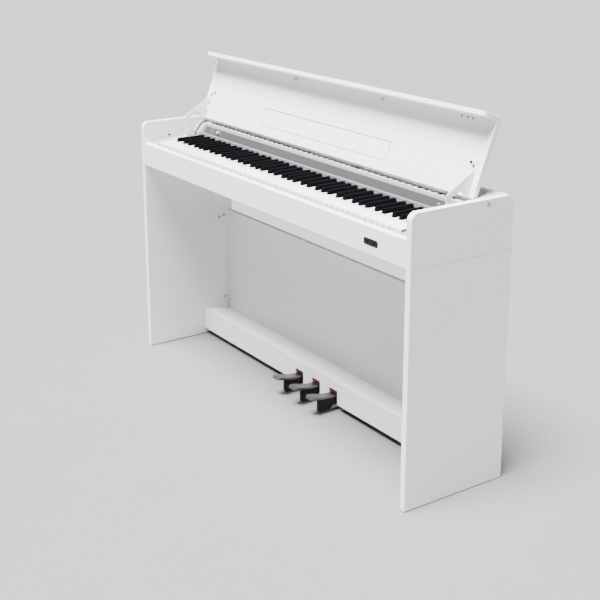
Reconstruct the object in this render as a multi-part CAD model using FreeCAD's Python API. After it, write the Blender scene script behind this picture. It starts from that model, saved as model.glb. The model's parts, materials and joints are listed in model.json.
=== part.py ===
import FreeCAD, Part
import math
import os

# Digital piano on a stand: slim console with a folding lid, 88 keys and three pedals.
# Millimetres. +X to the player's right, -Y towards the player, +Z up.
# Origin: on the floor, midway between the sides and midway front to back.

# ---- overall size ----
WIDTH = 1360.0
DEPTH = 325.0
HEIGHT = 766.0
SIDE_THICK = 18.0
FRONT = -DEPTH / 2
BACK = DEPTH / 2
INNER = WIDTH / 2 - SIDE_THICK
CHEEK_BOTTOM = 626.8
CORNER_RADIUS = 22.0
GLIDE_HEIGHT = 2.0

# ---- cabinet box that holds the keys ----
GAP = 0.5
BOTTOM_THICK = 15.0
CABINET_FLOOR = CHEEK_BOTTOM + BOTTOM_THICK
SLIP_FRONT = FRONT + 1.0
SLIP_BACK = -142.5
SLIP_TOP = 698.8
REAR_BOARD_Y = 150.0
TOP_BOARD_Y = 59.6
TOP_BOARD_Z = 752.0
END_BLOCK_X = 613.5
ARM_SLOT_HALF = 5.5
ARM_X = 636.0

# ---- panel, rail and grille above the back of the keys ----
PANEL_FOOT = (13.5, 711.0)
PANEL_LIP = (13.5, 722.6)
PANEL_LOW = (18.0, 725.0)
PANEL_HIGH = (33.0, 744.0)
RAIL_TOP = (41.0, 751.3)
GRILLE_BACK = (59.2, 751.9)
SLOPE_MIDDLE = 12.0
STRIP_HALF = 592.0
GRILLE_PITCH = 26.0
GRILLE_SLOT = 20.0
KNOB_X = -505.0
KNOB_RADIUS = 5.4
BUTTON_X = 560.0
BUTTON_RADIUS = 4.0

# ---- keyboard ----
WHITE_COUNT = 52
WHITE_PITCH = 23.5
WHITE_GAP = 1.4
KEYS_LEFT = -WHITE_COUNT * WHITE_PITCH / 2
KEY_FRONT = -135.0
KEY_HEAD_BACK = -84.0
KEY_BACK = 75.0
KEY_TOP = 707.6
KEY_BOTTOM = 688.0
BLACK_WIDTH = 13.0
BLACK_TOP_WIDTH = 11.6
BLACK_FRONT = -83.0
BLACK_BACK = 12.4
BLACK_TOP = 719.3
BLACK_GAP = 1.0
KEY_ROD_Y = 70.0
KEY_ROD_Z = 697.0
KEY_ROD_RADIUS = 2.5
OCTAVE = 7 * WHITE_PITCH
BLACK_OFFSETS = {"cs": 20.2, "ds": 50.3, "fs": 89.6, "gs": 117.5, "as": 145.4}

# ---- lid ----
LID_HALF = 657.0
LID_THICK = 12.0
LID_LENGTH = 195.9
LID_TILT = math.radians(69.1)
LID_FOOT = (47.0, 765.7)
FLAP_LENGTH = 50.1
FLAP_TILT = LID_TILT + math.pi / 2
HINGE_Y = 55.1
HINGE_Z = 762.4
HINGE_PIN_RADIUS = 1.1
KNUCKLE_RADIUS = 2.1
HINGE_HALF = 600.0
KNUCKLE_LENGTH = 50.0
ARM_THICK = 2.5
REST_HALF = 302.0
REST_LOW = 28.0
REST_HIGH = 79.0
REST_FRONT = -1.0
REST_REAR = 5.0
REST_PIVOT = 31.0
REST_MARGIN = 3.0
REST_PIN_RADIUS = 1.5

# ---- back panel and pedals ----
PANEL_BACK_THICK = 15.0
PANEL_BACK_Y = BACK - PANEL_BACK_THICK
PANEL_BACK_TOP = 430.0
PANEL_BACK_LOW = 20.0
BOX_FRONT = 48.0
BOX_THICK = 14.0
BOX_BOTTOM = 20.0
BOX_TOP_FRONT = 95.0
BOX_TOP_BACK = 75.0
PEDAL_PITCH = 88.0
PEDAL_SHIFT = 3.0
PEDAL_SLOT_HALF = 20.0
PEDAL_SLOT_TOP = 63.0
BRACKET_Y = 133.0
PEDAL_NAMES = ("left", "centre", "right")
PEDAL_AXLE_Y = 105.0
PEDAL_AXLE_Z = 48.0
PEDAL_AXLE_RADIUS = 4.0
PEDAL_NOSE = -46.0

os.makedirs("parts", exist_ok=True)


# ---- helpers ----
def save(shape, node):
    shape.exportStep("parts/" + node + ".step")


def box(x0, x1, y0, y1, z0, z1):
    return Part.makeBox(x1 - x0, y1 - y0, z1 - z0, FreeCAD.Vector(x0, y0, z0))


def rod_x(x0, x1, y, z, radius):
    return Part.makeCylinder(radius, x1 - x0, FreeCAD.Vector(x0, y, z), FreeCAD.Vector(1, 0, 0))


def rod_y(x, y0, y1, z, radius):
    return Part.makeCylinder(radius, y1 - y0, FreeCAD.Vector(x, y0, z), FreeCAD.Vector(0, 1, 0))


def rod_z(x, y, z0, z1, radius):
    return Part.makeCylinder(radius, z1 - z0, FreeCAD.Vector(x, y, z0), FreeCAD.Vector(0, 0, 1))


def profile(points, x0, x1):
    corners = [FreeCAD.Vector(x0, y, z) for y, z in points]
    corners.append(corners[0])
    face = Part.Face(Part.makePolygon(corners))
    return face.extrude(FreeCAD.Vector(x1 - x0, 0, 0))


def outline(points, z0, z1):
    corners = [FreeCAD.Vector(x, y, z0) for x, y in points]
    corners.append(corners[0])
    face = Part.Face(Part.makePolygon(corners))
    return face.extrude(FreeCAD.Vector(0, 0, z1 - z0))


def round_edges(shape, radius, wanted):
    edges = [edge for edge in shape.Edges if wanted(edge.CenterOfMass, edge)]
    return shape.makeFillet(radius, edges)


def along_x(edge):
    ends = [vertex.Point for vertex in edge.Vertexes]
    return len(ends) == 2 and abs(ends[0].y - ends[1].y) < 0.01 and abs(ends[0].z - ends[1].z) < 0.01


def mirrored(shape):
    return shape.mirror(FreeCAD.Vector(0, 0, 0), FreeCAD.Vector(1, 0, 0))


def fuse_all(shapes):
    return shapes[0].multiFuse(shapes[1:]).removeSplitter()


def lid_point(along, out):
    y = LID_FOOT[0] + along * math.cos(LID_TILT) + out * math.sin(LID_TILT)
    z = LID_FOOT[1] + along * math.sin(LID_TILT) - out * math.cos(LID_TILT)
    return (y, z)


def flap_point(along, out):
    crease = lid_point(LID_LENGTH, 0)
    y = crease[0] + along * math.cos(FLAP_TILT) + out * math.sin(FLAP_TILT)
    z = crease[1] + along * math.sin(FLAP_TILT) - out * math.cos(FLAP_TILT)
    return (y, z)


# ---- sides ----
def cheek():
    body = box(INNER, WIDTH / 2, FRONT, BACK, CHEEK_BOTTOM, HEIGHT)
    body = round_edges(body, CORNER_RADIUS, lambda c, e: along_x(e) and c.z > HEIGHT - 1)
    body = round_edges(body, 1.2, lambda c, e: abs(c.x - WIDTH / 2) < 0.01 and c.z > CHEEK_BOTTOM + 1)
    cap_hole = Part.makeCylinder(6.2, 2.0, FreeCAD.Vector(WIDTH / 2 - 2, 79.0, 752.0),
                                 FreeCAD.Vector(1, 0, 0))
    return body.cut(cap_hole)


def side_panel():
    body = box(INNER, WIDTH / 2, FRONT, BACK, GLIDE_HEIGHT, CHEEK_BOTTOM - GAP)
    return round_edges(body, 1.2, lambda c, e: abs(c.x - WIDTH / 2) < 0.01)


def floor_feet():
    glides = []
    middle = INNER + SIDE_THICK / 2
    for side in (-1, 1):
        for y in (FRONT + 24, BACK - 24):
            glides.append(rod_z(side * middle, y, 0, GLIDE_HEIGHT, 8))
    pad = rod_z(0, BRACKET_Y, 0, 5, 12)
    stem = rod_z(0, BRACKET_Y, 5, 24, 5)
    glides.append(pad.fuse(stem).removeSplitter())
    return Part.makeCompound(glides)


def screw_caps():
    caps = []
    for side in (-1, 1):
        start = side * (WIDTH / 2 - 1.6)
        caps.append(Part.makeCylinder(5.8, 1.6, FreeCAD.Vector(start, 79.0, 752.0),
                                      FreeCAD.Vector(side, 0, 0)))
        for y, z in ((112.0, 409.0), (130.0, 413.0), (130.0, 120.0)):
            caps.append(Part.makeCylinder(5.0, 1.5, FreeCAD.Vector(side * INNER, y, z),
                                          FreeCAD.Vector(-side, 0, 0)))
    return Part.makeCompound(caps)


# ---- cabinet ----
def key_slip():
    body = box(-INNER + GAP, INNER - GAP, SLIP_FRONT, SLIP_BACK, CHEEK_BOTTOM, SLIP_TOP)
    body = round_edges(body, 2.0, lambda c, e: along_x(e) and c.y < SLIP_FRONT + 0.1)
    for x in (514.0, 541.0):
        body = body.cut(rod_y(x, SLIP_FRONT - 1, SLIP_BACK + 1, 660.0, 6.3))
    return body


def headphone_plate():
    plate = box(499.5, 555.5, FRONT + 0.1, SLIP_FRONT, 651.5, 668.5)
    plate = round_edges(plate, 6.0, lambda c, e: abs(e.tangentAt(e.FirstParameter).y) > 0.9)
    for x in (514.0, 541.0):
        plate = plate.fuse(rod_y(x, SLIP_FRONT, SLIP_FRONT + 17, 660.0, 6.1))
    for x in (514.0, 541.0):
        plate = plate.cut(rod_y(x, FRONT - 1, SLIP_FRONT + 15, 660.0, 3.2))
    return plate.removeSplitter()


def speaker_outline(grow, z0, z1, x):
    half = 42.0
    radius = 31.0 + grow
    middle = box(x - half, x + half, 115 - radius, 115 + radius, z0, z1)
    ends = [rod_z(x - half, 115, z0, z1, radius), rod_z(x + half, 115, z0, z1, radius)]
    return middle.multiFuse(ends).removeSplitter()


def bottom_board():
    body = box(-INNER + GAP, INNER - GAP, SLIP_BACK + GAP, BACK - 1, CHEEK_BOTTOM, CABINET_FLOOR)
    for x in (-480, 480):
        for column in range(-3, 4):
            for row in range(-2, 3):
                y = 115 + row * 11
                hole = rod_z(x + column * 16, y, CHEEK_BOTTOM - 1, CABINET_FLOOR + 1, 3.4)
                body = body.cut(hole)
    return body


def rear_board():
    low = CABINET_FLOOR
    long_board = box(-INNER + GAP, 280, REAR_BOARD_Y, BACK - 1, low, TOP_BOARD_Z)
    short_board = box(440, INNER - GAP, REAR_BOARD_Y, BACK - 1, low, TOP_BOARD_Z)
    return Part.makeCompound([long_board, short_board])


def jack_panel():
    plate = box(270, 450, REAR_BOARD_Y - 3, REAR_BOARD_Y, CABINET_FLOOR, TOP_BOARD_Z)
    recess = plate.cut(rod_y(300, REAR_BOARD_Y - 4, REAR_BOARD_Y + 1, 680, 5.5))
    inlet_body = rod_y(300, REAR_BOARD_Y - 16, REAR_BOARD_Y, 680, 5.5).cut(
        rod_y(300, REAR_BOARD_Y - 13, REAR_BOARD_Y + 1, 680, 3.2))
    inlet_pin = rod_y(300, REAR_BOARD_Y - 14, REAR_BOARD_Y - 3, 680, 1.1)
    parts = [recess, inlet_body, inlet_pin]
    usb = box(350, 364, REAR_BOARD_Y - 14, REAR_BOARD_Y, 674, 686)
    usb_hole = box(351.5, 362.5, REAR_BOARD_Y - 12, REAR_BOARD_Y + 1, 675.5, 684.5)
    body = fuse_all(parts).fuse(usb).cut(usb_hole)
    jack = rod_y(400, REAR_BOARD_Y - 16, REAR_BOARD_Y, 680, 6.5)
    jack_hole = rod_y(400, REAR_BOARD_Y - 13, REAR_BOARD_Y + 1, 680, 3.2)
    return body.fuse(jack).cut(jack_hole).removeSplitter()


def top_rear_board():
    body = box(-INNER + GAP, INNER - GAP, TOP_BOARD_Y, BACK - 0.5, TOP_BOARD_Z, HEIGHT - 0.4)
    body = round_edges(body, 10.0, lambda c, e: along_x(e) and c.y > BACK - 1 and c.z > HEIGHT - 1)
    return round_edges(body, 2.5, lambda c, e: along_x(e) and c.y < TOP_BOARD_Y + 1 and c.z > HEIGHT - 1)


def end_block():
    points = [(SLIP_BACK + GAP, CABINET_FLOOR), (SLIP_BACK + GAP, 700.8), (-40.0, 710.0),
              PANEL_FOOT, PANEL_LIP, PANEL_LOW, PANEL_HIGH, RAIL_TOP, GRILLE_BACK,
              (80.0, GRILLE_BACK[1]), (80.0, CABINET_FLOOR)]
    body = profile(points, END_BLOCK_X, INNER - GAP)
    body = round_edges(body, 2.5, lambda c, e: along_x(e) and c.y < SLIP_BACK + 2 and c.z > 700)
    slot = box(ARM_X - ARM_SLOT_HALF, ARM_X + ARM_SLOT_HALF, -31.0, 81.0, CABINET_FLOOR - 1, 800)
    flange_pocket = box(ARM_X - 17.5, ARM_X + ARM_SLOT_HALF, 20.0, 53.0, 749.0, 760.0)
    body = body.cut(slot).cut(flange_pocket)
    return body.cut(rod_x(END_BLOCK_X - 1, 624.5, KEY_ROD_Y, KEY_ROD_Z, KEY_ROD_RADIUS))


# ---- panel over the keys ----
def slope_point(along, out):
    dy = PANEL_HIGH[0] - PANEL_LOW[0]
    dz = PANEL_HIGH[1] - PANEL_LOW[1]
    length = math.hypot(dy, dz)
    y = PANEL_LOW[0] + along * dy / length - out * dz / length
    z = PANEL_LOW[1] + along * dz / length + out * dy / length
    return (y, z)


def slope_pin(x, along, out0, out1, radius):
    start = slope_point(along, out0)
    end = slope_point(along, out1)
    base = FreeCAD.Vector(x, start[0], start[1])
    direction = FreeCAD.Vector(x, end[0], end[1]) - base
    return Part.makeCylinder(radius, out1 - out0, base, direction)


def control_panel():
    points = [PANEL_FOOT, PANEL_LIP, PANEL_LOW, PANEL_HIGH, (PANEL_HIGH[0], PANEL_HIGH[1] - 4.8),
              slope_point(0, -3), (16.5, 720.0), (16.5, 711.0)]
    body = profile(points, -END_BLOCK_X + GAP, END_BLOCK_X - GAP)
    body = body.cut(slope_pin(KNOB_X, SLOPE_MIDDLE, -6, 6, 3.06))
    return body.cut(slope_pin(BUTTON_X, SLOPE_MIDDLE, -6, 6, BUTTON_RADIUS + 0.08))


def panel_strip():
    points = [slope_point(1.2, 0.02), slope_point(1.2, 1.0), slope_point(23.4, 1.0),
              slope_point(23.4, 0.02)]
    body = profile(points, -STRIP_HALF, STRIP_HALF)
    body = body.cut(slope_pin(KNOB_X, SLOPE_MIDDLE, -6, 6, 3.06))
    return body.cut(slope_pin(BUTTON_X, SLOPE_MIDDLE, -6, 6, BUTTON_RADIUS + 0.08))


def volume_knob():
    cap = slope_pin(KNOB_X, SLOPE_MIDDLE, 1.3, 9.0, KNOB_RADIUS)
    cap = cap.makeFillet(1.2, [edge for edge in cap.Edges if edge.CenterOfMass.z > cap.CenterOfMass.z + 1])
    shaft = slope_pin(KNOB_X, SLOPE_MIDDLE, -5.0, 1.3, 3.0)
    mark = slope_pin(KNOB_X, SLOPE_MIDDLE + 3.2, 8.3, 10.0, 0.6)
    return cap.fuse(shaft).cut(mark).removeSplitter()


def power_button():
    body = slope_pin(BUTTON_X, SLOPE_MIDDLE, -5.0, 3.0, BUTTON_RADIUS)
    upper = [edge for edge in body.Edges if edge.CenterOfMass.z > body.CenterOfMass.z + 1]
    return body.makeFillet(0.7, upper)


def light_rail():
    front = PANEL_HIGH[0] + 0.4
    back = RAIL_TOP[0] - 0.1
    points = [(front, 739.0), (front, 744.6), (front + 2.2, 747.6), (front + 4.8, 749.9), (back, RAIL_TOP[1]),
              (back, 739.0)]
    return profile(points, -END_BLOCK_X + GAP, END_BLOCK_X - GAP)


def speaker_grille():
    front = RAIL_TOP[0] + 0.2
    back = GRILLE_BACK[0]
    points = [(front, RAIL_TOP[1] - 1.9), (front, RAIL_TOP[1] + 0.1), GRILLE_BACK, (back, GRILLE_BACK[1] - 2)]
    body = profile(points, -END_BLOCK_X + GAP, END_BLOCK_X - GAP)
    count = int(2 * 600 / GRILLE_PITCH)
    slots = []
    for index in range(count):
        x = (index - (count - 1) / 2) * GRILLE_PITCH
        slots.append(box(x - GRILLE_SLOT / 2, x + GRILLE_SLOT / 2, front + 3.3, back - 3.2, 740, 760))
    return body.cut(Part.makeCompound(slots))


# ---- keyboard ----
def key_frame():
    plate = box(-END_BLOCK_X + 1, END_BLOCK_X - 1, -138.0, 80.0, CABINET_FLOOR + 4, CABINET_FLOOR + 8)
    front_rail = box(-END_BLOCK_X + 1, END_BLOCK_X - 1, -130.0, -112.0, CABINET_FLOOR + 8, 674.0)
    rear_rail = box(-END_BLOCK_X + 1, END_BLOCK_X - 1, 50.0, 80.0, CABINET_FLOOR + 8, 684.0)
    feet = []
    for x in (-580, -290, 0, 290, 580):
        for y in (-120, 60):
            feet.append(box(x - 12, x + 12, y - 10, y + 10, CABINET_FLOOR, CABINET_FLOOR + 4))
    return fuse_all([plate, front_rail, rear_rail] + feet)


def key_felt():
    return box(-END_BLOCK_X + 2, END_BLOCK_X - 2, -129.0, -113.0, 674.0, 677.0)


def key_rod():
    return rod_x(-624.0, 624.0, KEY_ROD_Y, KEY_ROD_Z, KEY_ROD_RADIUS)


def black_centres():
    centres = {}
    for octave in range(0, 8):
        start = KEYS_LEFT + 2 * WHITE_PITCH + (octave - 1) * OCTAVE
        for name in BLACK_OFFSETS:
            x = start + BLACK_OFFSETS[name]
            if KEYS_LEFT < x < -KEYS_LEFT - WHITE_PITCH:
                centres.setdefault(name, []).append(x)
    return centres


def white_key(index, blacks):
    left = KEYS_LEFT + index * WHITE_PITCH + WHITE_GAP / 2
    right = left + WHITE_PITCH - WHITE_GAP
    head = box(left, right, KEY_FRONT, KEY_HEAD_BACK, KEY_BOTTOM, KEY_TOP)
    tail_left = left
    tail_right = right
    reach = BLACK_WIDTH / 2 + BLACK_GAP
    for x in blacks:
        if left - 6 < x < left + 8:
            tail_left = max(tail_left, x + reach)
        if right - 8 < x < right + 6:
            tail_right = min(tail_right, x - reach)
    tail = box(tail_left, tail_right, KEY_HEAD_BACK, KEY_BACK, KEY_BOTTOM, KEY_TOP)
    key = head.fuse(tail).removeSplitter()
    key = round_edges(key, 1.2, lambda c, e: abs(c.y - KEY_FRONT) < 0.01 and c.z > KEY_BOTTOM + 1)
    return key.cut(rod_x(left - 1, right + 1, KEY_ROD_Y, KEY_ROD_Z, KEY_ROD_RADIUS + 0.06))


def black_key(x):
    half = BLACK_WIDTH / 2
    top_half = BLACK_TOP_WIDTH / 2
    base = box(x - half, x + half, BLACK_FRONT, KEY_BACK, KEY_BOTTOM, KEY_TOP)
    raised = Part.makeWedge(x - half, KEY_TOP, -BLACK_BACK, -BLACK_BACK + 0.5, x - top_half,
                            x + half, BLACK_TOP, -BLACK_FRONT, -BLACK_FRONT - 4.5, x + top_half)
    raised.rotate(FreeCAD.Vector(0, 0, 0), FreeCAD.Vector(1, 0, 0), 90)
    raised = round_edges(raised, 1.1, lambda c, e: c.z > KEY_TOP + 1)
    key = base.fuse(raised).removeSplitter()
    return key.cut(rod_x(x - half - 1, x + half + 1, KEY_ROD_Y, KEY_ROD_Z, KEY_ROD_RADIUS + 0.06))


def save_keys():
    centres = black_centres()
    blacks = [x for name in centres for x in centres[name]]
    names = ("a", "b", "c", "d", "e", "f", "g")
    groups = {}
    for index in range(WHITE_COUNT):
        name = names[index % 7]
        groups.setdefault(name, []).append(white_key(index, blacks))
    for name in centres:
        groups[name] = [black_key(x) for x in centres[name]]
    for name in groups:
        save(Part.makeCompound(groups[name]), "keys_" + name)


# ---- electronics ----
def circuit_board():
    board = box(-150, 150, 88, 142, CABINET_FLOOR + 8, CABINET_FLOOR + 9.6)
    parts = [board]
    for x in (-140, 140):
        for y in (94, 136):
            parts.append(rod_z(x, y, CABINET_FLOOR, CABINET_FLOOR + 8, 3))
    for index, x in enumerate((-110, -60, -10, 50, 100)):
        height = 6 + 2 * (index % 3)
        parts.append(box(x - 14, x + 14, 100, 124, CABINET_FLOOR + 9.6, CABINET_FLOOR + 9.6 + height))
    return fuse_all(parts)


def speaker(x):
    flange = speaker_outline(0, CABINET_FLOOR, CABINET_FLOOR + 3, x)
    opening = speaker_outline(-6, CABINET_FLOOR - 1, CABINET_FLOOR + 3, x)
    basket = speaker_outline(-7, CABINET_FLOOR + 3, CABINET_FLOOR + 20, x)
    magnet = rod_z(x, 115, CABINET_FLOOR + 20, CABINET_FLOOR + 34, 22)
    return fuse_all([flange.cut(opening), speaker_outline(-6, CABINET_FLOOR + 2, CABINET_FLOOR + 3, x),
                     basket, magnet])


# ---- lid ----
def bent_edge(points, wedge):
    """A board whose mitred edge is rounded over around the crease, so the bend reads as one curve."""
    board = profile(points, -LID_HALF, LID_HALF)
    crease = wedge[0]
    roll = rod_x(-LID_HALF, LID_HALF, crease[0], crease[1], LID_THICK)
    nose = roll.common(profile(wedge, -LID_HALF, LID_HALF))
    return board.fuse(nose).removeSplitter()


def lid_board():
    points = [lid_point(0, 0), lid_point(LID_LENGTH, 0), lid_point(LID_LENGTH, LID_THICK),
              lid_point(0, LID_THICK)]
    wedge = [lid_point(LID_LENGTH, 0), lid_point(LID_LENGTH + 1.2 * LID_THICK, 1.2 * LID_THICK),
             lid_point(LID_LENGTH, 2 * LID_THICK)]
    body = bent_edge(points, wedge)
    groove = rod_x(-HINGE_HALF - 1, HINGE_HALF + 1, HINGE_Y, HINGE_Z, KNUCKLE_RADIUS + 0.3)
    low = REST_LOW - 0.4
    high = REST_HIGH + REST_MARGIN
    floor = REST_REAR + 0.3
    wall = REST_HALF + REST_MARGIN
    recess = profile([lid_point(low, -1), lid_point(high, -1), lid_point(high, floor), lid_point(low, floor)],
                     -wall, wall)
    pivot = rest_pivot()
    pin_holes = rod_x(-wall - 7, wall + 7, pivot[0], pivot[1], REST_PIN_RADIUS)
    return body.cut(groove).cut(recess).cut(pin_holes)


def lid_flap():
    points = [flap_point(0.1, 0), flap_point(FLAP_LENGTH, 0), flap_point(FLAP_LENGTH, LID_THICK),
              flap_point(0.1, LID_THICK)]
    wedge = [flap_point(0.1, 0), flap_point(0.1 - 1.2 * LID_THICK, 1.2 * LID_THICK),
             flap_point(0.1, 2 * LID_THICK)]
    body = bent_edge(points, wedge)
    tip = flap_point(FLAP_LENGTH, LID_THICK / 2)
    return round_edges(body, 14.0, lambda c, e: abs(abs(c.x) - LID_HALF) < 0.01
                       and abs(c.y - tip[0]) < 1.0 and abs(c.z - tip[1]) < 1.0)


def lid_arm():
    points = [lid_point(74, 0), (-6.0, 789.0), (-20.5, 779.0), (-20.5, 709.0), (-29.0, 709.0),
              (-29.0, 702.0), (-5.0, 702.0), (-5.0, 773.0), (30.0, 784.5), (34.0, 772.0),
              lid_point(3, 0)]
    plate = profile(points, ARM_X - ARM_THICK / 2, ARM_X + ARM_THICK / 2)
    foot = [lid_point(10, -2), lid_point(92, -2), lid_point(92, 0), lid_point(10, 0)]
    flange = profile(foot, ARM_X - 14, ARM_X + ARM_THICK / 2)
    return plate.fuse(flange).removeSplitter()


def lid_pin(x, along, out0, out1, radius):
    start = lid_point(along, out0)
    end = lid_point(along, out1)
    base = FreeCAD.Vector(x, start[0], start[1])
    return Part.makeCylinder(radius, out1 - out0, base, FreeCAD.Vector(x, end[0], end[1]) - base)


def rest_pivot():
    return lid_point(REST_PIVOT, (REST_FRONT + REST_REAR) / 2)


def lid_fittings():
    pieces = []
    for side in (-1, 1):
        for along in (21, 52, 78):
            pieces.append(lid_pin(side * (ARM_X - 8), along, -3.6, -2.0, 4.0))
        pivot = rest_pivot()
        inside = side * (REST_HALF - 8)
        outside = side * (REST_HALF + REST_MARGIN + 7)
        pieces.append(rod_x(min(inside, outside), max(inside, outside), pivot[0], pivot[1], REST_PIN_RADIUS))
    for x, half in ((-202.5, 3.5), (-192.5, 3.5), (218.0, 6.0)):
        plate = [lid_point(183, -1.2), lid_point(193, -1.2), lid_point(193, 0), lid_point(183, 0)]
        pieces.append(profile(plate, x - half, x + half))
    return Part.makeCompound(pieces)


def flap_screws():
    pieces = [lid_pin(x, 190, -1.2, 0, 2.4) for x in (534, 556, 574)]
    for side in (-1, 1):
        pieces.append(lid_pin(side * 614, 85, -2.0, 0, 3.6))
    return Part.makeCompound(pieces)


def music_rest():
    points = [lid_point(REST_PIVOT, REST_FRONT), lid_point(REST_HIGH, REST_FRONT),
              lid_point(REST_HIGH, REST_REAR), lid_point(REST_PIVOT, REST_REAR)]
    body = profile(points, -REST_HALF, REST_HALF)
    pivot = rest_pivot()
    round_foot = rod_x(-REST_HALF, REST_HALF, pivot[0], pivot[1], (REST_REAR - REST_FRONT) / 2)
    body = body.fuse(round_foot).removeSplitter()
    for x0, x1 in ((-REST_HALF - 1, -REST_HALF + 9), (REST_HALF - 9, REST_HALF + 1)):
        body = body.cut(rod_x(x0, x1, pivot[0], pivot[1], REST_PIN_RADIUS + 0.06))
    return body


def hinge_leaf(leaf, first):
    pieces = [leaf]
    count = int(2 * HINGE_HALF / KNUCKLE_LENGTH)
    for index in range(first, count, 2):
        x0 = -HINGE_HALF + index * KNUCKLE_LENGTH + 0.3
        x1 = x0 + KNUCKLE_LENGTH - 0.6
        pieces.append(rod_x(x0, x1, HINGE_Y, HINGE_Z, KNUCKLE_RADIUS))
    return pieces


def knuckle_gaps(body, first):
    count = int(2 * HINGE_HALF / KNUCKLE_LENGTH)
    for index in range(first, count, 2):
        x0 = -HINGE_HALF + index * KNUCKLE_LENGTH - 0.01
        body = body.cut(rod_x(x0, x0 + KNUCKLE_LENGTH + 0.02, HINGE_Y, HINGE_Z, KNUCKLE_RADIUS + 0.3))
    return body


def hinge_leaf_fixed():
    front = TOP_BOARD_Y - 0.8
    pieces = [box(-HINGE_HALF, HINGE_HALF, front, TOP_BOARD_Y, 754.0, 761.4)]
    count = int(2 * HINGE_HALF / KNUCKLE_LENGTH)
    for index in range(0, count, 2):
        x0 = -HINGE_HALF + index * KNUCKLE_LENGTH + 0.3
        x1 = x0 + KNUCKLE_LENGTH - 0.6
        pieces.append(box(x0, x1, HINGE_Y, front, HINGE_Z - KNUCKLE_RADIUS, HINGE_Z - KNUCKLE_RADIUS + 0.8))
    body = fuse_all(hinge_leaf(pieces[0], 0) + pieces[1:])
    return body.cut(rod_x(-HINGE_HALF - 1, HINGE_HALF + 1, HINGE_Y, HINGE_Z, HINGE_PIN_RADIUS))


def hinge_leaf_lid():
    points = [lid_point(-0.8, 1.0), lid_point(-0.8, LID_THICK - 1.0), lid_point(0, LID_THICK - 1.0),
              lid_point(0, 1.0)]
    leaf = knuckle_gaps(profile(points, -HINGE_HALF, HINGE_HALF), 0)
    body = fuse_all(hinge_leaf(leaf, 1))
    return body.cut(rod_x(-HINGE_HALF - 1, HINGE_HALF + 1, HINGE_Y, HINGE_Z, HINGE_PIN_RADIUS + 0.06))


def hinge_pin():
    return rod_x(-HINGE_HALF, HINGE_HALF, HINGE_Y, HINGE_Z, HINGE_PIN_RADIUS)


def stop_bumpers():
    pieces = []
    for side in (-1, 1):
        for x in (300, 600):
            pieces.append(rod_z(side * x, -147.0, SLIP_TOP, 703.2, 4.0))
        middle = side * ARM_X
        half = ARM_SLOT_HALF
        pieces.append(box(middle - half, middle + half, -31.0, -22.5, 709.3, 714.0))
    return Part.makeCompound(pieces)


# ---- back panel and pedals ----
def back_panel():
    body = box(-INNER + GAP, INNER - GAP, PANEL_BACK_Y, BACK - 0.5, PANEL_BACK_LOW, PANEL_BACK_TOP)
    return round_edges(body, 1.5, lambda c, e: along_x(e) and c.z > PANEL_BACK_TOP - 1)


def pedal_box():
    front = box(-INNER + GAP, INNER - GAP, BOX_FRONT, BOX_FRONT + BOX_THICK, BOX_BOTTOM,
                BOX_TOP_FRONT - BOX_THICK - 2)
    for index in range(3):
        x = PEDAL_SHIFT + (index - 1) * PEDAL_PITCH
        front = front.cut(box(x - PEDAL_SLOT_HALF, x + PEDAL_SLOT_HALF, BOX_FRONT - 1,
                              BOX_FRONT + BOX_THICK + 1, BOX_BOTTOM - 1, PEDAL_SLOT_TOP))
    return front


def pedal_box_top():
    inside = BOX_FRONT + BOX_THICK
    under = BOX_TOP_FRONT - BOX_THICK - 2
    points = [(BOX_FRONT, under), (BOX_FRONT, BOX_TOP_FRONT), (PANEL_BACK_Y, BOX_TOP_BACK),
              (PANEL_BACK_Y, BOX_TOP_BACK - BOX_THICK), (inside, under)]
    return profile(points, -INNER + GAP, INNER - GAP)


def pedal_bracket():
    left = PEDAL_SHIFT - 150
    right = PEDAL_SHIFT + 150
    plate = box(left, right, 120.0, PANEL_BACK_Y, 24, 27)
    wall = box(left, right, PANEL_BACK_Y - 3, PANEL_BACK_Y, 27, 58)
    ears = []
    for offset in (-136, -44, 44, 136):
        x = PEDAL_SHIFT + offset
        ear = box(x - 2, x + 2, 96, PANEL_BACK_Y, 24, 58)
        ears.append(ear.cut(rod_x(x - 3, x + 3, PEDAL_AXLE_Y, PEDAL_AXLE_Z, PEDAL_AXLE_RADIUS)))
    return fuse_all([plate, wall] + ears)


def pedal_axle():
    return rod_x(PEDAL_SHIFT - 140, PEDAL_SHIFT + 140, PEDAL_AXLE_Y, PEDAL_AXLE_Z, PEDAL_AXLE_RADIUS)


def pedal_felts():
    pieces = []
    for index in range(3):
        x = PEDAL_SHIFT + (index - 1) * PEDAL_PITCH
        top = box(x - 18, x + 18, BOX_FRONT + 0.3, BOX_FRONT + 7, PEDAL_SLOT_TOP - 7.6, PEDAL_SLOT_TOP)
        pieces.append(top)
    return Part.makeCompound(pieces)


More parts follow.
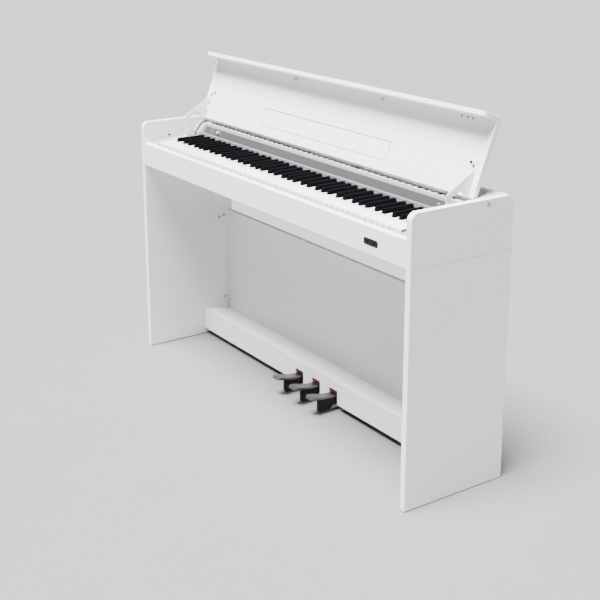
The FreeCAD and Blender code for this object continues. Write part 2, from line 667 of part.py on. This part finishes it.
def pedal_plate(x):
    points = [(PEDAL_NOSE, 57.2), (PEDAL_NOSE + 6, 61.4), (PEDAL_NOSE + 22, 60.0), (-2.0, 54.8),
              (24.0, 51.2), (112.0, 50.0), (112.0, 44.0), (24.0, 45.0), (-2.0, 48.6),
              (PEDAL_NOSE + 20, 53.6), (PEDAL_NOSE + 4, 55.0)]
    bar = profile(points, x - 24, x + 24)
    waist = 13.0
    nose = 18.0
    plan = [(x - waist, 120.0), (x - waist, 20.0), (x - nose, PEDAL_NOSE + 34), (x - nose, PEDAL_NOSE + nose),
            (x + nose, PEDAL_NOSE + nose), (x + nose, PEDAL_NOSE + 34), (x + waist, 20.0), (x + waist, 120.0)]
    cutter = outline(plan, 30, 80)
    cutter = cutter.fuse(rod_z(x, PEDAL_NOSE + nose, 30, 80, nose)).removeSplitter()
    lug = rod_x(x - waist, x + waist, PEDAL_AXLE_Y, PEDAL_AXLE_Z, 8.5)
    body = bar.common(cutter).fuse(lug).removeSplitter()
    return body.cut(rod_x(x - 30, x + 30, PEDAL_AXLE_Y, PEDAL_AXLE_Z, PEDAL_AXLE_RADIUS + 0.06))


def pedal_body(x):
    points = [(-15.0, 15.0), (-15.0, 51.0), (-2.0, 48.5), (24.0, 44.9), (80.0, 44.2), (80.0, 26.0),
              (48.0, 26.0), (37.0, 20.0), (29.0, 10.5), (24.0, 8.5), (-6.0, 8.5), (-12.0, 10.5)]
    return profile(points, x + 5, x + 14)


# ---- write every sub-part ----
save(cheek(), "cheek_right")
save(mirrored(cheek()), "cheek_left")
save(side_panel(), "side_panel_right")
save(mirrored(side_panel()), "side_panel_left")
save(floor_feet(), "floor_feet")
save(screw_caps(), "screw_caps")
save(key_slip(), "key_slip")
save(headphone_plate(), "headphone_plate")
save(bottom_board(), "bottom_board")
save(rear_board(), "rear_board")
save(jack_panel(), "jack_panel")
save(top_rear_board(), "top_rear_board")
save(end_block(), "end_block_right")
save(mirrored(end_block()), "end_block_left")
save(control_panel(), "control_panel")
save(panel_strip(), "panel_strip")
save(volume_knob(), "volume_knob")
save(power_button(), "power_button")
save(light_rail(), "light_rail")
save(speaker_grille(), "speaker_grille")
save(key_frame(), "key_frame")
save(key_felt(), "key_felt")
save(key_rod(), "key_rod")
save_keys()
save(circuit_board(), "circuit_board")
save(Part.makeCompound([speaker(-480), speaker(480)]), "speakers")
save(lid_board(), "lid_board")
save(lid_flap(), "lid_flap")
save(lid_arm(), "lid_arm_right")
save(mirrored(lid_arm()), "lid_arm_left")
save(lid_fittings(), "lid_fittings")
save(flap_screws(), "flap_screws")
save(music_rest(), "music_rest")
save(hinge_leaf_fixed(), "hinge_leaf_fixed")
save(hinge_leaf_lid(), "hinge_leaf_lid")
save(hinge_pin(), "hinge_pin")
save(stop_bumpers(), "stop_bumpers")
save(back_panel(), "back_panel")
save(pedal_box(), "pedal_box")
save(pedal_box_top(), "pedal_box_top")
save(pedal_bracket(), "pedal_bracket")
save(pedal_axle(), "pedal_axle")
save(pedal_felts(), "pedal_felts")
for pedal_index, pedal_name in enumerate(PEDAL_NAMES):
    pedal_x = PEDAL_SHIFT + (pedal_index - 1) * PEDAL_PITCH
    save(pedal_plate(pedal_x), "pedal_" + pedal_name)
    save(pedal_body(pedal_x), "pedal_body_" + pedal_name)
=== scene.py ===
import json
import math

import bmesh
import bpy
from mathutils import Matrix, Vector


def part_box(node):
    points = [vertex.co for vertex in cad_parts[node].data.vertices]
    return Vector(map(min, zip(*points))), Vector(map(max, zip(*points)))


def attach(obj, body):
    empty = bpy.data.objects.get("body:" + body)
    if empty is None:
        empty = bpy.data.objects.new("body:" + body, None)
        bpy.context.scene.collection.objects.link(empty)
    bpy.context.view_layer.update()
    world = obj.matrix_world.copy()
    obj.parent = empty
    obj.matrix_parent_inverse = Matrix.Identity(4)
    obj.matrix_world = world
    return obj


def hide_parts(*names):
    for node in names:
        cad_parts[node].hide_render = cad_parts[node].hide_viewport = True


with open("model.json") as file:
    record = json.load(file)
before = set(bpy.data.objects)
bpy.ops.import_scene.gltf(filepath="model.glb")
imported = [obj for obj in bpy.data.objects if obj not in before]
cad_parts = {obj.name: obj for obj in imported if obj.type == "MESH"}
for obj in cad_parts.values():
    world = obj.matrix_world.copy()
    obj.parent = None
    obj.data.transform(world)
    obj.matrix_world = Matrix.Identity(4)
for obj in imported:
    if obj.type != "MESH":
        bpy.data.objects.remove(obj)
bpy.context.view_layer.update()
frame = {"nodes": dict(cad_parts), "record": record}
record = frame["record"]
slot_of = {part["node"]: part["material_slot"] for part in record["subparts"]}
body_of_node = {node: body for body, nodes in record["behaviour"]["bodies"].items() for node in nodes}
scene = bpy.context.scene

# Metres and degrees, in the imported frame: +X to the player's right, -Y towards the player, +Z up.
SMOOTH_ANGLE = 35
BEVEL_ANGLE = 40
BEVEL_SEGMENTS = 3
WELD_DISTANCE = 0.00001
FLAT_ANGLE = 1.0
WHITE_KEYS = ("keys_a", "keys_b", "keys_c", "keys_d", "keys_e", "keys_f", "keys_g")
WHITE_KEY_BEVEL = 0.0005
# Painted shade: white key faces turned sideways beyond this limit get the dark flank material.
PAINTED_SHADE_FLANK_LIMIT = 0.5

PIN_RADIUS = 0.0036
PIN_TIP_RADIUS = 0.003
PIN_LENGTH = 0.003
PIN_BEVEL = 0.0004
PIN_Y = -0.071
PIN_Z = 0.7165

FLOOR_REACH = 30.0
SKY_STRENGTH = 0.14
KEY_LIGHT_AZIMUTH = 6
KEY_LIGHT_ELEVATION = 73.5
KEY_LIGHT_STRENGTH = 25.0
KEY_LIGHT_SPREAD = 31

CAMERA_PLACE = (2.6798, -1.8465, 1.4813)
CAMERA_DIP = 15.278
CAMERA_TURN = 55.544
CAMERA_LENS = 70.46
CAMERA_SENSOR = 36.0
CAMERA_SHIFT_Y = -0.1466


# ---------------------------------------------------------------- materials
def new_material(name):
    material = bpy.data.materials.new(name)
    material.use_nodes = True
    tree = material.node_tree
    return material, tree, tree.nodes["Principled BSDF"]


def noise(tree, scale, detail=3.0, stretch=(1, 1, 1), rough=0.5):
    coord = tree.nodes.new("ShaderNodeTexCoord")
    mapping = tree.nodes.new("ShaderNodeMapping")
    mapping.inputs["Scale"].default_value = stretch
    texture = tree.nodes.new("ShaderNodeTexNoise")
    texture.inputs["Scale"].default_value = scale
    texture.inputs["Detail"].default_value = detail
    texture.inputs["Roughness"].default_value = rough
    tree.links.new(coord.outputs["Object"], mapping.inputs["Vector"])
    tree.links.new(mapping.outputs["Vector"], texture.inputs["Vector"])
    return texture


def spread(tree, source, low, high, start=0.3, end=0.7):
    node = tree.nodes.new("ShaderNodeMapRange")
    node.inputs["From Min"].default_value = start
    node.inputs["From Max"].default_value = end
    node.inputs["To Min"].default_value = low
    node.inputs["To Max"].default_value = high
    tree.links.new(source, node.inputs["Value"])
    return node.outputs["Result"]


def tint(tree, source, dark, light):
    node = tree.nodes.new("ShaderNodeMix")
    node.data_type = "RGBA"
    node.inputs[6].default_value = (*dark, 1)
    node.inputs[7].default_value = (*light, 1)
    tree.links.new(source, node.inputs[0])
    return node.outputs[2]


def relief(tree, shader, source, strength, distance):
    node = tree.nodes.new("ShaderNodeBump")
    node.inputs["Strength"].default_value = strength
    node.inputs["Distance"].default_value = distance
    tree.links.new(source, node.inputs["Height"])
    tree.links.new(node.outputs["Normal"], shader.inputs["Normal"])


def surface(name, dark, light, rough, grain, bump=0.1, depth=0.0002, metal=0.0, coat=0.0,
            stretch=(1, 1, 1), detail=3.0, blotch=3.0, specular=0.5):
    material, tree, shader = new_material(name)
    fine = noise(tree, grain, detail, stretch)
    broad = noise(tree, blotch, 2.0)
    tree.links.new(tint(tree, broad.outputs["Fac"], dark, light), shader.inputs["Base Color"])
    tree.links.new(spread(tree, fine.outputs["Fac"], rough[0], rough[1]), shader.inputs["Roughness"])
    relief(tree, shader, fine.outputs["Fac"], bump, depth)
    shader.inputs["Metallic"].default_value = metal
    shader.inputs["Coat Weight"].default_value = coat
    shader.inputs["Coat Roughness"].default_value = 0.12
    shader.inputs["Specular IOR Level"].default_value = specular
    return material


def make_materials():
    looks = {}
    looks["cabinet"] = surface("white_lacquer", (0.83, 0.83, 0.825), (0.87, 0.87, 0.865),
                               (0.30, 0.42), 420, 0.05, 0.0001)
    looks["key_white"] = surface("key_ivory", (0.86, 0.86, 0.85), (0.90, 0.90, 0.885),
                                 (0.10, 0.18), 160, 0.02, 0.0001, coat=0.4)
    # Painted shade: a dark flank colour for the white keys, standing in for the shade in the narrow gaps
    # between them.
    looks["key_flank_painted_shade"] = surface("key_flank_painted_shade", (0.12, 0.118, 0.112), (0.16, 0.157, 0.15),
                                (0.4, 0.6), 160, 0.05, 0.0001)
    looks["key_black"] = surface("key_ebony", (0.0025, 0.0025, 0.003), (0.005, 0.005, 0.006),
                                 (0.50, 0.62), 900, 0.15, 0.0001, stretch=(6, 1, 1), specular=0.0)
    looks["panel_plastic"] = surface("panel_grey", (0.14, 0.143, 0.147), (0.17, 0.173, 0.177),
                                     (0.36, 0.46), 900, 0.08, 0.0001)
    looks["rail_plastic"] = surface("rail_grey", (0.19, 0.192, 0.195), (0.23, 0.232, 0.235),
                                    (0.30, 0.42), 900, 0.08, 0.0001)
    looks["strip_gloss"] = surface("strip_gloss", (0.045, 0.046, 0.048), (0.058, 0.06, 0.062),
                                   (0.12, 0.20), 300, 0.02, 0.0001, coat=0.3)
    looks["grille_dark"] = surface("grille_dark", (0.52, 0.524, 0.528), (0.58, 0.584, 0.588),
                                   (0.45, 0.60), 1200, 0.2, 0.0002)
    looks["white_plastic"] = surface("white_plastic", (0.34, 0.34, 0.34), (0.38, 0.38, 0.38),
                                     (0.26, 0.36), 700, 0.05, 0.0001)
    looks["black_plastic"] = surface("black_plastic", (0.003, 0.003, 0.003), (0.007, 0.007, 0.007),
                                     (0.50, 0.65), 1400, 0.25, 0.0002, specular=0.2)
    looks["steel_white"] = surface("white_powder_coat", (0.76, 0.76, 0.755), (0.81, 0.81, 0.805),
                                   (0.34, 0.48), 1600, 0.25, 0.0002)
    looks["steel_plate"] = surface("zinc_plate", (0.50, 0.51, 0.52), (0.64, 0.65, 0.66),
                                   (0.25, 0.42), 240, 0.08, 0.0001, metal=1.0, blotch=30)
    looks["pedal_metal"] = surface("satin_nickel", (0.13, 0.13, 0.127), (0.18, 0.18, 0.176),
                                   (0.30, 0.42), 700, 0.10, 0.0001, metal=1.0, stretch=(1, 0.03, 1))
    looks["felt_red"] = surface("red_felt", (0.060, 0.004, 0.007), (0.10, 0.007, 0.010),
                                (0.85, 0.98), 1500, 0.9, 0.0006, detail=8, blotch=500)
    looks["glide_white"] = surface("pale_rubber", (0.70, 0.70, 0.69), (0.78, 0.78, 0.77),
                                   (0.6, 0.8), 900, 0.3, 0.0002)
    looks["board_green"] = surface("circuit_green", (0.01, 0.12, 0.04), (0.02, 0.18, 0.07),
                                   (0.25, 0.4), 500, 0.1, 0.0001, blotch=120)
    looks["speaker_black"] = surface("speaker_black", (0.012, 0.012, 0.012), (0.03, 0.03, 0.03),
                                     (0.4, 0.7), 300, 0.2, 0.0002)
    return looks


LOOKS = make_materials()


# ---------------------------------------------------------------- building tools
def finish_mesh(obj, material):
    """One material over the whole piece, smooth shaded except at its real edges."""
    obj.data.materials.clear()
    obj.data.materials.append(material)
    obj.data.shade_smooth()
    obj.data.set_sharp_from_angle(angle=math.radians(SMOOTH_ANGLE))


def apply_modifiers(obj):
    """Bake the piece's modifiers into its mesh."""
    bpy.context.view_layer.update()
    graph = bpy.context.evaluated_depsgraph_get()
    mesh = bpy.data.meshes.new_from_object(obj.evaluated_get(graph))
    obj.modifiers.clear()
    obj.data = mesh


def soften(node, width):
    """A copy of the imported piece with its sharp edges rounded, shown in its place."""
    mesh = frame["nodes"][node].data.copy()
    work = bmesh.new()
    work.from_mesh(mesh)
    bmesh.ops.remove_doubles(work, verts=work.verts, dist=WELD_DISTANCE)
    flat = math.radians(FLAT_ANGLE)
    bmesh.ops.dissolve_limit(work, angle_limit=flat, verts=work.verts, edges=work.edges)
    work.to_mesh(mesh)
    work.free()
    mesh.shade_smooth()
    mesh.set_sharp_from_angle(angle=math.radians(SMOOTH_ANGLE))
    obj = bpy.data.objects.new(node + "_soft", mesh)
    scene.collection.objects.link(obj)
    bevel = obj.modifiers.new("bevel", "BEVEL")
    bevel.width = width
    bevel.segments = BEVEL_SEGMENTS
    bevel.limit_method = "ANGLE"
    bevel.angle_limit = math.radians(BEVEL_ANGLE)
    bevel.use_clamp_overlap = True
    bevel.miter_outer = "MITER_ARC"
    weighted = obj.modifiers.new("weighted", "WEIGHTED_NORMAL")
    weighted.keep_sharp = True
    apply_modifiers(obj)
    obj.data.materials.clear()
    obj.data.materials.append(LOOKS[slot_of[node]])
    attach(obj, body_of_node[node])
    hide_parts(node)
    return obj


# Width of the rounding on the edges of each piece that shows.
SOFTENED = {
    "side_panel_left": 0.0012, "side_panel_right": 0.0012, "cheek_left": 0.0012, "cheek_right": 0.0012,
    "key_slip": 0.0015, "bottom_board": 0.0006, "top_rear_board": 0.001, "back_panel": 0.0015,
    "pedal_box": 0.0012, "pedal_box_top": 0.0015, "lid_board": 0.001, "lid_flap": 0.0012,
    "music_rest": 0.0008, "end_block_left": 0.0012, "end_block_right": 0.0012,
    "light_rail": 0.0005, "control_panel": 0.0006, "speaker_grille": 0.0004, "headphone_plate": 0.0004,
    "lid_arm_left": 0.0004, "lid_arm_right": 0.0004, "rear_board": 0.0008, "jack_panel": 0.0004,
    "pedal_left": 0.0014, "pedal_centre": 0.0014, "pedal_right": 0.0014,
    "pedal_body_left": 0.0014, "pedal_body_centre": 0.0014, "pedal_body_right": 0.0014,
    **{key_node: WHITE_KEY_BEVEL for key_node in WHITE_KEYS},
}


def paint_shade_on_key_flanks(obj):
    """Painted shade: the flanks of the white keys get a dark material that stands in for the shade in the
    gaps between keys, so that the keys read separately.
    """
    obj.data.materials.append(LOOKS["key_flank_painted_shade"])
    for face in obj.data.polygons:
        if abs(face.normal.x) > PAINTED_SHADE_FLANK_LIMIT:
            face.material_index = 1


for node_name, bevel_width in SOFTENED.items():
    soft = soften(node_name, bevel_width)
    # Painted shade goes onto the flanks of the white keys.
    if node_name in WHITE_KEYS:
        paint_shade_on_key_flanks(soft)

for node_name, node in frame["nodes"].items():
    if node_name not in SOFTENED:
        finish_mesh(node, LOOKS[slot_of[node_name]])


# ---------------------------------------------------------------- small dark pins inside the cheeks
def cheek_pin(side):
    """A small dark pin on the inner face of a cheek, level with the black keys."""
    low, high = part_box("cheek_left" if side < 0 else "cheek_right")
    face = high[0] if side < 0 else low[0]
    mesh = bpy.data.meshes.new("cheek_pin")
    work = bmesh.new()
    bmesh.ops.create_cone(work, cap_ends=True, segments=32, radius1=PIN_RADIUS, radius2=PIN_TIP_RADIUS,
                          depth=PIN_LENGTH)
    rims = [edge for edge in work.edges if not edge.is_contiguous or edge.calc_face_angle(0) > 1.0]
    bmesh.ops.bevel(work, geom=rims, offset=PIN_BEVEL, segments=2, affect="EDGES")
    work.to_mesh(mesh)
    work.free()
    obj = bpy.data.objects.new("cheek_pin_left" if side < 0 else "cheek_pin_right", mesh)
    obj.location = (face - side * PIN_LENGTH / 2, PIN_Y, PIN_Z)
    obj.rotation_euler = (0, math.radians(-side * 90), 0)
    scene.collection.objects.link(obj)
    finish_mesh(obj, LOOKS["black_plastic"])
    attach(obj, "cabinet")


cheek_pin(-1)
cheek_pin(1)


# ---------------------------------------------------------------- studio
def studio():
    """A plain pale floor under an even sky."""
    floor_mesh = bpy.data.meshes.new("floor")
    corners = [(-FLOOR_REACH, -FLOOR_REACH, 0), (FLOOR_REACH, -FLOOR_REACH, 0), (FLOOR_REACH, FLOOR_REACH, 0),
               (-FLOOR_REACH, FLOOR_REACH, 0)]
    floor_mesh.from_pydata(corners, [], [(0, 1, 2, 3)])
    floor = bpy.data.objects.new("floor", floor_mesh)
    scene.collection.objects.link(floor)
    floor.data.materials.append(surface("floor_paper", (0.175, 0.175, 0.175), (0.185, 0.185, 0.185),
                                        (0.7, 0.8), 40, 0.02, 0.0001))
    world = bpy.data.worlds.new("studio")
    scene.world = world
    world.use_nodes = True
    background = world.node_tree.nodes["Background"]
    background.inputs["Color"].default_value = (1, 1, 1, 1)
    background.inputs["Strength"].default_value = SKY_STRENGTH


def sun_light(name, azimuth, elevation, strength, spread_degrees):
    """Soft light from a direction: azimuth from the front towards the right, elevation above the floor."""
    data = bpy.data.lights.new(name, "SUN")
    data.energy = strength
    data.angle = math.radians(spread_degrees)
    light = bpy.data.objects.new(name, data)
    turn = math.radians(azimuth)
    rise = math.radians(elevation)
    towards = Vector((math.sin(turn) * math.cos(rise), -math.cos(turn) * math.cos(rise), math.sin(rise)))
    light.rotation_euler = towards.to_track_quat("Z", "Y").to_euler()
    scene.collection.objects.link(light)


def camera():
    """The view from the front right, a little above the piano."""
    data = bpy.data.cameras.new("camera")
    data.lens = CAMERA_LENS
    data.sensor_width = CAMERA_SENSOR
    data.shift_y = CAMERA_SHIFT_Y
    obj = bpy.data.objects.new("camera", data)
    obj.location = CAMERA_PLACE
    obj.rotation_euler = (math.radians(90 - CAMERA_DIP), 0, math.radians(CAMERA_TURN))
    scene.collection.objects.link(obj)
    scene.camera = obj


studio()
sun_light("key_light", KEY_LIGHT_AZIMUTH, KEY_LIGHT_ELEVATION, KEY_LIGHT_STRENGTH, KEY_LIGHT_SPREAD)
camera()
